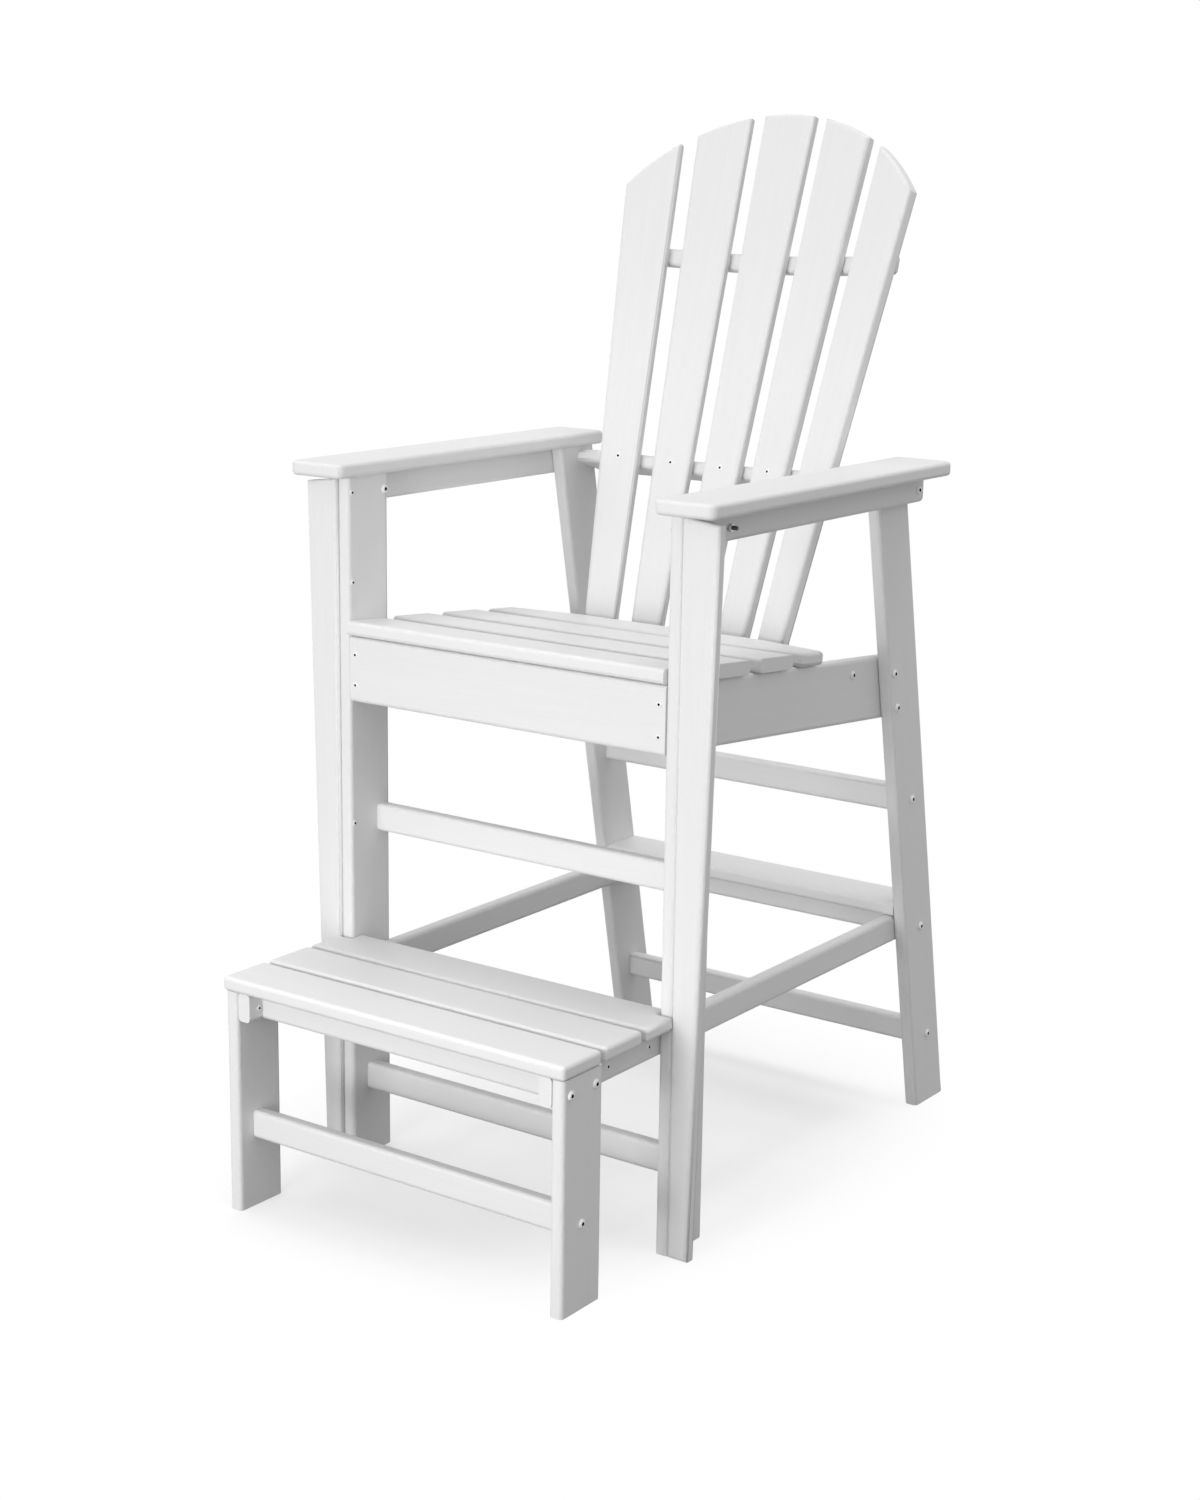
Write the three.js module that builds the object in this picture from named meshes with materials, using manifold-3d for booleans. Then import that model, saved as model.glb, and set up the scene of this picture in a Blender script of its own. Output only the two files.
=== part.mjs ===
// Lifeguard chair of white plastic boards: a high slatted seat and back, wide arms, and a step in front.
// Millimetres, +Z up. The sitter faces -Y, and the chair mirrors about the plane X = 0.
// Inside the chair's group Y = 0 is the front of the front legs. "left" in a name is the -X side.
import * as THREE from "three";
import { mergeVertices } from "three/addons/utils/BufferGeometryUtils.js";
import Module from "manifold-3d";

const wasm = await Module();
wasm.setup();

// Stock that the boards are cut from
const thickness = 21;
const wideStock = 87;
const deepStock = 96;
const narrowStock = 42;
const edgeCut = 3.5;

// Air between pieces that lie together, and how far a cutter runs past a face
const fit = 0.3;
const overrun = 2;

// Frame: clear width between the legs, and the height of the arms' underside
const innerWidth = 551;
const armUnderside = 1034;

// Rear legs: their front edge at the floor, and their lean from upright in degrees
const rearFootFront = 717;
const rearLean = 11.5;

// Tapered boards on the outer side of the front legs
const frontBoardTopWidth = 57;
const frontBoardFootWidth = 33;
const frontBoardProud = 3;
const frontBoardInnerDrop = 3;
const frontBoardOuterDrop = 10;

// Arms and the rails under them, and how many straight steps make each rounded corner
const armWidth = 95;
const armLength = 645;
const armFrontOverhang = 29;
const armInnerOverhang = 8.5;
const armCornerRadius = 12;
const armRailSetback = 3;
const armRailCornerRadius = 8;
const cornerSteps = 3;

// Stretchers between the legs
const lowStretcherBase = 104;
const rearLowStretcherBase = 102;
const rearLowStretcherStock = 39;
const middleStretcherBase = 503;
const frontLowSetback = 31.5;
const frontMiddleSetback = 57.5;
const rearStretcherInset = 33;

// Seat: height of its top at the front, fall to the rear in degrees, and the slats along the slope
const seatTop = 828.3;
const seatFall = 4.87;
const seatFrontOverhang = 6;
const seatSideOverhang = 9;
const seatSlatGap = 27;
const seatSlatCount = 4;
const seatRailEnd = 612;
const seatCornerCutStart = 165;
const seatCornerCutDepth = 32;

// Back: the front of its middle slat at the lower cross-member, below the seat's height, and its lean
const backFootDepth = 456;
const backFootDrop = 83;
const backLean = 17.85;

// Back slats: a fan that turns forward at its sides, with an arch cut across its top
const backSlatReach = 2;
const backSlatTurn = 6.87;
const backSlatTail = 10;
const backTaperHeight = 800;
const backPitchFoot = 76;
const backPitchTop = 109.5;
const backSlatFootWidth = 50;
const backSlatTopWidth = 87;
const archRadius = 315;
const archCentreHeight = 533.5;
const archSteps = 6;

// Cross boards behind the back slats: how far up the back, and how far forward
const crossMemberDrop = 2;
const crossBoardForward = 5;
const middleRailEndSetback = 13;
const upperRailBase = 605;
const upperRailHeight = 27;
const upperRailEndInset = 10;
const upperRailEndCut = 7;

// Step, and the long rails that carry it back to the rear legs
const stepTop = 352;
const stepFront = 250;
const stepSideOverhang = 2.5;
const stepSlatWidth = 85;
const stepSlatGap = 8;
const stepSlatCount = 3;
const stepNotchEase = 3;
const stepRailSetback = 6.5;
const stepLegSetback = 4;
const stepApronSetback = 32.5;
const stepCleatSetback = 120.5;
const stepCleatPitch = 95.5;

// Stretcher under the shelf between the rear legs
const shelfStretcherSetback = 47;

// Bolts, and the nuts on the front arm bolts
const boltRadius = 3;
const boltHeadRadius = 6.5;
const boltHeadHeight = 3;
const boltHeadRound = 1.2;
const boltRecessRadius = 2;
const boltRecessDepth = 1.5;
const boltBite = 16;
const boltEnd = 8;
const boltSides = 12;
const nutFlats = 10;
const nutHeight = 5;
const nutSides = 6;

// Bolt places
const armBoltDrop = 23;
const armFrontBoltInset = 9;
const armRearBoltInset = 19.5;
const seatUpperBoltSetback = 29;
const seatUpperBoltDrop = 22;
const seatLowerBoltSetback = 16;
const seatLowerBoltDrop = 76.5;
const crossMemberBoltShare = 0.48;
const upperStretcherBoltShares = [0.6, 0.49];
const lowerStretcherBoltShares = [0.76, 0.4];
const longRailBoltInset = 36.5;
const longRailBoltShare = 0.45;

// Worked out from the sizes above
const degree = Math.PI / 180;
const innerFace = innerWidth / 2;
const outerFace = innerFace + thickness;
const railOuterFace = innerFace - fit;
const railInnerFace = railOuterFace - thickness;
const crossEnd = railInnerFace - fit;
const armRailInnerFace = outerFace + fit;
const armRailOuterFace = armRailInnerFace + thickness;
const rearSlope = Math.tan(rearLean * degree);
const rearLegDepth = wideStock / Math.cos(rearLean * degree);
const seatSlope = Math.tan(seatFall * degree);
const seatCosine = Math.cos(seatFall * degree);
const seatBase = seatTop - thickness / seatCosine - fit;
const seatRailEndTop = seatBase - seatSlope * seatRailEnd;
const backFoot = seatTop - backFootDrop;
const forwardRise = crossBoardForward * Math.sin(backLean * degree);
const middleRailTop = (armUnderside - fit - backFoot - forwardRise) / Math.cos(backLean * degree);
const armRear = armLength - armFrontOverhang;
const armRailEnd = armRear - armRailSetback;
const stepHalf = outerFace + stepSideOverhang;
const stepRailTop = stepTop - thickness - fit;
const stepRailBase = stepRailTop - narrowStock;
const longRailEnd = rearLegFront(stepRailTop) + rearLegDepth;
const sides = [["left", -1], ["right", 1]];

const boardLooks = { color: 0xe9e9e7, roughness: 0.5, metalness: 0 };
const boltLooks = { color: 0xd9d9d6, roughness: 0.45, metalness: 0 };
const nutLooks = { color: 0x8d8f92, roughness: 0.35, metalness: 1 };

// The seat's group lies on its slope, and the back's group leans with the back.
const chair = new THREE.Group();
const seat = new THREE.Group();
const back = new THREE.Group();
seat.position.z = seatTop;
seat.rotation.x = -seatFall * degree;
back.position.set(0, backFootDepth, backFoot);
back.rotation.x = -backLean * degree;
chair.add(seat, back);
chair.updateMatrixWorld(true);

const bolts = sides.flatMap(([side, hand]) => boltsOfSide(side, hand));

for (const [side, hand] of sides) {
  addFrontLeg(side, hand);
  addArm(side, hand);
  addRearLeg(side, hand);
  addSeatRail(side, hand);
  addLongRail(side, hand);
  addStepLeg(side, hand);
}
addStretchers();
addSeat();
addBack();
addStep();
addShelf();
bolts.forEach(addBolt);
bolts.filter((bolt) => bolt.nutted).forEach(addNut);

// The finished chair stands with its origin under the middle of its length.
chair.position.y = (stepFront - rearFootFront - rearLegDepth) / 2;

export default chair;

// Where things lie

// The front edge of a rear leg at a height.
function rearLegFront(height) {
  return rearFootFront - rearSlope * height;
}

// Two distances from the middle plane, as a span of X on the side that hand names.
function sideSpan(hand, near, far) {
  return hand > 0 ? [near, far] : [-far, -near];
}

// A place in a span, as a share of the way along it.
function within(span, placeShare) {
  return span[0] + (span[1] - span[0]) * placeShare;
}

// The spans of a stretcher between the rear legs, from the height of its underside and its own height.
function rearStretcherSpans(base, height) {
  const front = rearLegFront(base + height / 2) + rearStretcherInset;
  return { x: [-railOuterFace, railOuterFace], y: [front, front + thickness], z: [base, base + height] };
}

function rearLowerSpans() {
  return rearStretcherSpans(rearLowStretcherBase, rearLowStretcherStock);
}

function rearUpperSpans() {
  return rearStretcherSpans(middleStretcherBase, narrowStock);
}

// Places across the fan of the back, for the slat that is index places from the middle one.
function backSlatAngle(index) {
  return index * backSlatTurn * degree;
}

function backSlatCentre(index, height) {
  return index * (backPitchFoot + ((backPitchTop - backPitchFoot) * height) / backTaperHeight);
}

function backSlatWidth(height) {
  return backSlatFootWidth + ((backSlatTopWidth - backSlatFootWidth) * height) / backTaperHeight;
}

function backSlatDepth(index, height) {
  return -backSlatCentre(index, height) * Math.tan(backSlatAngle(index) / 2);
}

function backSlatIndices() {
  return Array.from({ length: 2 * backSlatReach + 1 }, (_, place) => place - backSlatReach);
}

// Shapes of boards

// An outline from its corners.
function polygon(points) {
  return new THREE.Shape(points.map(([u, v]) => new THREE.Vector2(u, v)));
}

// A rectangle with its four corners cut off flat.
function cutRectangle(us, vs) {
  return polygon([
    [us[0] + edgeCut, vs[0]],
    [us[1] - edgeCut, vs[0]],
    [us[1], vs[0] + edgeCut],
    [us[1], vs[1] - edgeCut],
    [us[1] - edgeCut, vs[1]],
    [us[0] + edgeCut, vs[1]],
    [us[0], vs[1] - edgeCut],
    [us[0], vs[0] + edgeCut],
  ]);
}

// Turns an extrusion to run along an axis. Its outline then lies in the next two axes of X, Y, Z, X, Y.
function runAlong(axis, geometry) {
  const x = new THREE.Vector3(1, 0, 0);
  const y = new THREE.Vector3(0, 1, 0);
  const z = new THREE.Vector3(0, 0, 1);
  const bases = { x: [y, z, x], y: [z, x, y], z: [x, y, z] };
  return geometry.applyMatrix4(new THREE.Matrix4().makeBasis(...bases[axis]));
}

// A board with square ends and its four long edges cut, filling three spans.
function board(axis, spans) {
  const [u, v] = { x: "yz", y: "zx", z: "xy" }[axis];
  const [from, to] = spans[axis];
  const section = cutRectangle(spans[u], spans[v]);
  const geometry = new THREE.ExtrudeGeometry(section, { depth: to - from, bevelEnabled: false });
  return runAlong(axis, geometry.translate(0, 0, from));
}

// A board cut to an outline, with the edges of both its faces cut all the way round.
function panel(axis, outline, span, curveSegments) {
  const settings = {
    depth: span[1] - span[0] - 2 * edgeCut,
    bevelThickness: edgeCut,
    bevelSize: edgeCut,
    bevelOffset: -edgeCut,
    bevelSegments: 1,
    curveSegments,
  };
  const geometry = new THREE.ExtrudeGeometry(outline, settings);
  return runAlong(axis, geometry.translate(0, 0, span[0] + edgeCut));
}

// The solid of a geometry, for cutting.
function solidOf(geometry) {
  const bare = geometry.clone();
  bare.deleteAttribute("normal");
  bare.deleteAttribute("uv");
  const merged = mergeVertices(bare);
  const mesh = new wasm.Mesh({
    numProp: 3,
    vertProperties: merged.attributes.position.array,
    triVerts: new Uint32Array(merged.index.array),
  });
  return new wasm.Manifold(mesh);
}

function geometryOf(solid) {
  const mesh = solid.getMesh();
  const indexed = new THREE.BufferGeometry();
  indexed.setAttribute("position", new THREE.BufferAttribute(mesh.vertProperties, mesh.numProp));
  indexed.setIndex(new THREE.BufferAttribute(mesh.triVerts, 1));
  const geometry = indexed.toNonIndexed();
  geometry.computeVertexNormals();
  return geometry;
}

// The clearance hole of a bolt, as a cutter in the frame of the group that holds the board.
function boreOf(bolt, group) {
  const inward = -bolt.hand * bolt.facing;
  const length = overrun + bolt.reach + fit;
  const radius = boltRadius + fit;
  const cutter = new THREE.CylinderGeometry(radius, radius, length, boltSides).rotateZ(Math.PI / 2);
  const centre = new THREE.Vector3(bolt.hand * bolt.face + inward * (length / 2 - overrun), bolt.y, bolt.z);
  group.worldToLocal(centre);
  return solidOf(cutter.translate(centre.x, centre.y, centre.z));
}

// Adds a board to a group, drilled for each bolt that runs through it.
function addBoard(group, name, geometry) {
  const through = bolts.filter((bolt) => bolt.boards.includes(name));
  const drilled = through.reduce((solid, bolt) => solid.subtract(boreOf(bolt, group)), solidOf(geometry));
  const mesh = new THREE.Mesh(geometryOf(drilled), new THREE.MeshStandardMaterial(boardLooks));
  mesh.name = name;
  group.add(mesh);
  return mesh;
}

// Legs

// A front leg is an L of two boards: one along the chair's side, and a tapered one across the front.
function addFrontLeg(side, hand) {
  const top = armUnderside - fit;
  const sideBoard = board("z", { x: sideSpan(hand, innerFace, outerFace), y: [0, wideStock], z: [0, top] });
  addBoard(chair, "leg_side_board_" + side, sideBoard);
  const inner = hand * armRailInnerFace;
  const outline = polygon([
    [0, inner],
    [0, inner + hand * frontBoardFootWidth],
    [armUnderside - frontBoardOuterDrop, inner + hand * frontBoardTopWidth],
    [armUnderside - frontBoardInnerDrop, inner],
  ]);
  const frontBoard = panel("y", outline, [-frontBoardProud, thickness - frontBoardProud]);
  addBoard(chair, "leg_front_board_" + side, frontBoard);
}

// A rear leg leans forward, with its foot and its top cut level.
function addRearLeg(side, hand) {
  const top = armUnderside - fit;
  const depth = [rearFootFront, rearFootFront + rearLegDepth];
  const upright = board("z", { x: sideSpan(hand, innerFace, outerFace), y: depth, z: [0, top] });
  const lean = new THREE.Matrix4().makeShear(0, 0, 0, 0, 0, -rearSlope);
  addBoard(chair, "rear_leg_" + side, upright.applyMatrix4(lean));
}

function addStepLeg(side, hand) {
  const front = stepLegSetback - stepFront;
  const leg = board("z", {
    x: sideSpan(hand, innerFace, outerFace),
    y: [front, front + wideStock],
    z: [0, stepRailTop],
  });
  addBoard(chair, "step_leg_" + side, leg);
}

// Arms

function addArm(side, hand) {
  const [left, right] = sideSpan(hand, innerFace - armInnerOverhang, innerFace - armInnerOverhang + armWidth);
  const outline = roundedRectangle(left, right, -armFrontOverhang, armRear);
  addBoard(chair, "arm_" + side, panel("z", outline, [armUnderside, armUnderside + thickness], cornerSteps));
  addArmRail(side, hand);
}

function roundedRectangle(left, right, front, rear) {
  const radius = armCornerRadius;
  const outline = new THREE.Shape();
  outline.absarc(right - radius, front + radius, radius, -Math.PI / 2, 0);
  outline.absarc(right - radius, rear - radius, radius, 0, Math.PI / 2);
  outline.absarc(left + radius, rear - radius, radius, Math.PI / 2, Math.PI);
  outline.absarc(left + radius, front + radius, radius, Math.PI, Math.PI * 1.5);
  return outline;
}

// The rail under an arm runs back from the front board, and its lower rear corner is rounded.
function addArmRail(side, hand) {
  const front = thickness - frontBoardProud + fit;
  const top = armUnderside - fit;
  const base = armUnderside - narrowStock;
  const radius = armRailCornerRadius;
  const outline = new THREE.Shape();
  outline.moveTo(front, base);
  outline.lineTo(armRailEnd - radius, base);
  outline.absarc(armRailEnd - radius, base + radius, radius, -Math.PI / 2, 0);
  outline.lineTo(armRailEnd, top);
  outline.lineTo(front, top);
  const rail = panel("x", outline, sideSpan(hand, armRailInnerFace, armRailOuterFace), cornerSteps);
  addBoard(chair, "arm_rail_" + side, rail);
}

// Stretchers

function addStretchers() {
  const across = [-railOuterFace, railOuterFace];
  const low = [lowStretcherBase, lowStretcherBase + narrowStock];
  const middle = [middleStretcherBase, middleStretcherBase + narrowStock];
  const frontLow = { x: across, y: [frontLowSetback, frontLowSetback + thickness], z: low };
  const frontMiddle = { x: across, y: [frontMiddleSetback, frontMiddleSetback + thickness], z: middle };
  const stepFace = stepApronSetback - stepFront;
  addBoard(chair, "front_low_stretcher", board("x", frontLow));
  addBoard(chair, "front_middle_stretcher", board("x", frontMiddle));
  addBoard(chair, "rear_lower_stretcher", board("x", rearLowerSpans()));
  addBoard(chair, "rear_upper_stretcher", board("x", rearUpperSpans()));
  addBoard(chair, "step_stretcher", board("x", { x: across, y: [stepFace, stepFace + thickness], z: low }));
}

// Seat

// The rails and the apron hang under the slats: the rails fall with the seat, and their ends are upright.
function addSeatRail(side, hand) {
  const rail = board("y", {
    x: sideSpan(hand, railInnerFace, railOuterFace),
    y: [thickness + fit, seatRailEnd],
    z: [seatBase - deepStock / seatCosine, seatBase],
  });
  const fall = new THREE.Matrix4().makeShear(0, 0, 0, -seatSlope, 0, 0);
  addBoard(chair, "seat_side_rail_" + side, rail.applyMatrix4(fall));
}

function addSeat() {
  const apronTop = seatBase - seatSlope * thickness;
  const across = [-railOuterFace, railOuterFace];
  const apron = { x: across, y: [0, thickness], z: [apronTop - deepStock, apronTop] };
  addBoard(chair, "seat_apron", board("x", apron));
  for (let place = 0; place < seatSlatCount; place += 1) {
    addBoard(seat, "seat_slat_" + (place + 1), seatSlat(place));
  }
}

// The first slat lies between the leg boards, the last has its rear corners cut, and the rest overhang.
function seatSlat(place) {
  const front = place * (wideStock + seatSlatGap) - seatFrontOverhang;
  const rear = front + wideStock;
  const half = innerFace + seatSideOverhang;
  if (place === 0) {
    return board("x", { x: [-railOuterFace, railOuterFace], y: [front, rear], z: [-thickness, 0] });
  }
  const whole = cutRectangle([-half, half], [front, rear]);
  const cut = polygon([
    [-half, front],
    [half, front],
    [half, rear - seatCornerCutDepth],
    [seatCornerCutStart, rear],
    [-seatCornerCutStart, rear],
    [-half, rear - seatCornerCutDepth],
  ]);
  const isLast = place === seatSlatCount - 1;
  return panel("z", isLast ? cut : whole, [-thickness, 0]);
}

// Back

function addBack() {
  backSlatIndices().forEach(addBackSlat);
  addCrossMember();
  addMiddleRail();
  addUpperRail();
}

// Each slat stands on its own turned plane, and leans so that its front keeps to the curve of the back.
function addBackSlat(index) {
  const turn = backSlatAngle(index);
  const spread = (index * (backPitchTop - backPitchFoot)) / backTaperHeight;
  const holder = new THREE.Group();
  holder.rotation.order = "ZXY";
  holder.rotation.z = -turn;
  holder.rotation.x = -Math.atan(spread * (Math.tan(turn) - Math.tan(turn / 2)));
  holder.position.set(backSlatCentre(index, 0), backSlatDepth(index, 0), 0);
  back.add(holder);
  const slat = panel("y", polygon(backSlatOutline(index)), [0, thickness]);
  addBoard(holder, "back_slat_" + (index + backSlatReach + 1), slat);
}

// Corners of a slat as height and width in its own plane: the tail, then the arch from right to left.
function backSlatOutline(index) {
  const turnCosine = Math.cos(backSlatAngle(index));
  const inPlane = (x) => (x - backSlatCentre(index, 0)) / turnCosine;
  const half = (height) => (backSlatWidth(height) * turnCosine) / 2;
  const edge = (way, height) => backSlatCentre(index, height) + way * half(height);
  const meets = (way) => {
    const height = archHeight((at) => edge(way, at));
    return Math.atan2(height - archCentreHeight, edge(way, height));
  };
  const [start, end] = [meets(1), meets(-1)];
  const arch = Array.from({ length: archSteps + 1 }, (_, step) => {
    const angle = start + ((end - start) * step) / archSteps;
    return [archCentreHeight + archRadius * Math.sin(angle), inPlane(archRadius * Math.cos(angle))];
  });
  const tail = [-1, 1].map((way) => [-backSlatTail, inPlane(edge(way, -backSlatTail))]);
  return [...tail, ...arch];
}

// The height at which a straight edge, given as X at a height, meets the arch.
function archHeight(edgeAt) {
  const foot = edgeAt(0);
  const slope = (edgeAt(backTaperHeight) - foot) / backTaperHeight;
  const squareTerm = slope * slope + 1;
  const halfTerm = foot * slope - archCentreHeight;
  const rest = foot * foot + archCentreHeight * archCentreHeight - archRadius * archRadius;
  return (Math.sqrt(halfTerm * halfTerm - squareTerm * rest) - halfTerm) / squareTerm;
}

// Points along the backs of all the slats, in X and depth, at a height and a distance behind their fronts.
function alongSlatBacks(height, behind, endReach) {
  return backSlatIndices().flatMap((index) => {
    const turn = backSlatAngle(index);
    const across = new THREE.Vector2(Math.cos(turn), -Math.sin(turn));
    const centre = new THREE.Vector2(backSlatCentre(index, height), backSlatDepth(index, height));
    centre.add(new THREE.Vector2(Math.sin(turn), Math.cos(turn)).multiplyScalar(behind));
    return [-1, 1].map((way) => {
      const isEnd = index === way * backSlatReach;
      const half = backSlatWidth(height) / 2 + (isEnd ? endReach : 0);
      return centre.clone().addScaledVector(across, way * half).toArray();
    });
  });
}

// A board that lies flat across the back, with its front edge cut to follow the slats.
function flatCrossBoard(base, halfLength, endDepth) {
  const contact = alongSlatBacks(base, thickness + 2 * fit, 0);
  const front = contact.map(([x, depth]) => [x, Math.max(depth, -crossBoardForward)]);
  const rear = wideStock - crossBoardForward;
  const outline = polygon([
    [-halfLength, endDepth],
    ...front,
    [halfLength, endDepth],
    [halfLength, rear],
    [-halfLength, rear],
  ]);
  return panel("z", outline, [base, base + thickness]);
}

function addCrossMember() {
  addBoard(back, "back_lower_crossmember", flatCrossBoard(-crossMemberDrop, crossEnd, -crossBoardForward));
}

// The middle rail's front comes up to the arms' underside. Its ends, between the rear legs, stand back.
function addMiddleRail() {
  const endDepth = middleRailEndSetback - crossBoardForward;
  addBoard(back, "back_middle_rail", flatCrossBoard(middleRailTop - thickness, railOuterFace, endDepth));
}

// The upper rail is a batten that bends with the slats. It ends short of their outer edges, rear corners cut.
function addUpperRail() {
  const face = thickness + 2 * fit;
  const front = alongSlatBacks(upperRailBase, face, -upperRailEndInset);
  const ends = alongSlatBacks(upperRailBase, face + thickness - upperRailEndCut, -upperRailEndInset);
  const rear = alongSlatBacks(upperRailBase, face + thickness, -upperRailEndInset - upperRailEndCut);
  const outline = polygon([...front, ends.at(-1), ...rear.reverse(), ends[0]]);
  addBoard(back, "back_upper_rail", panel("z", outline, [upperRailBase, upperRailBase + upperRailHeight]));
}

// Step and shelf

function addLongRail(side, hand) {
  const rail = board("y", {
    x: sideSpan(hand, railInnerFace, railOuterFace),
    y: [stepRailSetback - stepFront, longRailEnd],
    z: [stepRailBase, stepRailTop],
  });
  addBoard(chair, "long_side_rail_" + side, rail);
}

function addStep() {
  const top = [stepTop - thickness, stepTop];
  for (let place = 0; place < stepSlatCount; place += 1) {
    const front = place * (stepSlatWidth + stepSlatGap) - stepFront;
    const isLast = place === stepSlatCount - 1;
    const rear = front + stepSlatWidth;
    const outline = isLast ? notchedSlat(front, rear) : cutRectangle([-stepHalf, stepHalf], [front, rear]);
    addBoard(chair, "step_slat_" + (place + 1), panel("z", outline, top));
  }
  const apronFront = stepApronSetback - stepFront;
  addStepCrossPiece("step_apron", apronFront);
  const cleatFront = stepCleatSetback - stepFront;
  addStepCrossPiece("step_cleat_front", cleatFront);
  addStepCrossPiece("step_cleat_rear", cleatFront + stepCleatPitch);
}

// The rear slat of the step is notched round the front legs.
function notchedSlat(front, rear) {
  return polygon([
    [-stepHalf, front],
    [stepHalf, front],
    [stepHalf, -stepNotchEase],
    [railOuterFace, -stepNotchEase],
    [railOuterFace, rear],
    [-railOuterFace, rear],
    [-railOuterFace, -stepNotchEase],
    [-stepHalf, -stepNotchEase],
  ]);
}

// A cross piece on edge between the long rails, under the boards that it carries.
function addStepCrossPiece(name, front) {
  const piece = { x: [-crossEnd, crossEnd], y: [front, front + thickness], z: [stepRailBase, stepRailTop] };
  addBoard(chair, name, board("x", piece));
}

function addShelf() {
  const front = rearLegFront(stepTop - thickness);
  const across = [-railOuterFace, railOuterFace];
  const shelf = { x: across, y: [front, front + wideStock], z: [stepTop - thickness, stepTop] };
  addBoard(chair, "rear_shelf_board", board("x", shelf));
  addStepCrossPiece("rear_shelf_stretcher", front + shelfStretcherSetback);
}

// Bolts

// The bolts of one side: the board face under the head, the way the head faces, and the boards it joins.
function boltsOfSide(side, hand) {
  const armBoltHeight = armUnderside - armBoltDrop;
  const armFrontReach = 2 * (thickness + fit) + nutHeight + boltEnd;
  const upper = rearUpperSpans();
  const lower = rearLowerSpans();
  const [upperDepthShare, upperHeightShare] = upperStretcherBoltShares;
  const [lowerDepthShare, lowerHeightShare] = lowerStretcherBoltShares;
  const crossBoltDepth = within([-crossBoardForward, wideStock - crossBoardForward], crossMemberBoltShare);
  const crossBolt = back.localToWorld(new THREE.Vector3(0, crossBoltDepth, thickness / 2 - crossMemberDrop));
  const longRailBoltHeight = within([stepRailBase, stepRailTop], longRailBoltShare);
  const reach = thickness + boltBite;
  const at = (place, face, y, z, boards) => {
    return { name: place + "_bolt_" + side, hand, facing: 1, face, y, z, reach, boards };
  };
  const leg = "rear_leg_" + side;
  const seatRail = "seat_side_rail_" + side;
  const armRail = "arm_rail_" + side;
  const armFront = at("arm_front", innerFace, wideStock - armFrontBoltInset, armBoltHeight, [
    "leg_side_board_" + side,
    armRail,
  ]);
  return [
    { ...armFront, facing: -1, reach: armFrontReach, nutted: true, nutName: "arm_front_nut_" + side },
    at("arm_rear", armRailOuterFace, armRailEnd - armRearBoltInset, armBoltHeight, [armRail, leg]),
    at("seat_upper", outerFace, seatRailEnd - seatUpperBoltSetback, seatRailEndTop - seatUpperBoltDrop, [
      leg,
      seatRail,
    ]),
    at("seat_lower", outerFace, seatRailEnd - seatLowerBoltSetback, seatRailEndTop - seatLowerBoltDrop, [
      leg,
      seatRail,
    ]),
    at("crossmember", railOuterFace, crossBolt.y, crossBolt.z, [seatRail, "back_lower_crossmember"]),
    at("upper_stretcher", outerFace, within(upper.y, upperDepthShare), within(upper.z, upperHeightShare), [
      leg,
      "rear_upper_stretcher",
    ]),
    at("long_rail", outerFace, longRailEnd - longRailBoltInset, longRailBoltHeight, [
      leg,
      "long_side_rail_" + side,
    ]),
    at("lower_stretcher", outerFace, within(lower.y, lowerDepthShare), within(lower.z, lowerHeightShare), [
      leg,
      "rear_lower_stretcher",
    ]),
  ];
}

// A low round head with a recess in it, and a plain shank. It is turned to face out of its board.
function addBolt(bolt) {
  const profile = [
    [0, -bolt.reach],
    [boltRadius, -bolt.reach],
    [boltRadius, 0],
    [boltHeadRadius, 0],
    [boltHeadRadius, boltHeadHeight - boltHeadRound],
    [boltHeadRadius - boltHeadRound, boltHeadHeight],
    [boltRecessRadius, boltHeadHeight],
    [boltRecessRadius, boltHeadHeight - boltRecessDepth],
    [0, boltHeadHeight - boltRecessDepth],
  ].map(([radius, height]) => new THREE.Vector2(radius, height));
  const mesh = new THREE.Mesh(
    new THREE.LatheGeometry(profile, boltSides),
    new THREE.MeshStandardMaterial(boltLooks),
  );
  mesh.name = bolt.name;
  mesh.position.set(bolt.hand * (bolt.face + bolt.facing * fit), bolt.y, bolt.z);
  mesh.rotation.z = (-bolt.hand * bolt.facing * Math.PI) / 2;
  chair.add(mesh);
}

// The nut of a front arm bolt lies on the outer face of the arm rail.
function addNut(bolt) {
  const cornerRadius = nutFlats / 2 / Math.cos(Math.PI / nutSides);
  const ring = (radius, count) =>
    Array.from({ length: count }, (_, step) => {
      const angle = (2 * Math.PI * step) / count;
      return [radius * Math.cos(angle), radius * Math.sin(angle)];
    });
  const outline = polygon(ring(cornerRadius, nutSides));
  outline.holes.push(polygon(ring(boltRadius + fit, boltSides)));
  const geometry = new THREE.ExtrudeGeometry(outline, { depth: nutHeight, bevelEnabled: false });
  const [from] = sideSpan(bolt.hand, armRailOuterFace + fit, armRailOuterFace + fit + nutHeight);
  const mesh = new THREE.Mesh(runAlong("x", geometry), new THREE.MeshStandardMaterial(nutLooks));
  mesh.name = bolt.nutName;
  mesh.position.set(from, bolt.y, bolt.z);
  chair.add(mesh);
}
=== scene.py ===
# %% [markdown]
# # A lifeguard chair in white plastic boards
# The chair is a stack of plain boards: a tall seat, a fan of slats for a back, wide arms and a step to climb by.
# Its solids come ready made, each board in its place, with every long edge cut flat at 45 degrees.
# What is left is what the eye reads as plastic: edges run over with a round cutter, a drawn grain, screws and bolts.
# The first cell opens the solids and keeps the box that they fill, for the later cells to read.

# %% Open the solids
import math

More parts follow.
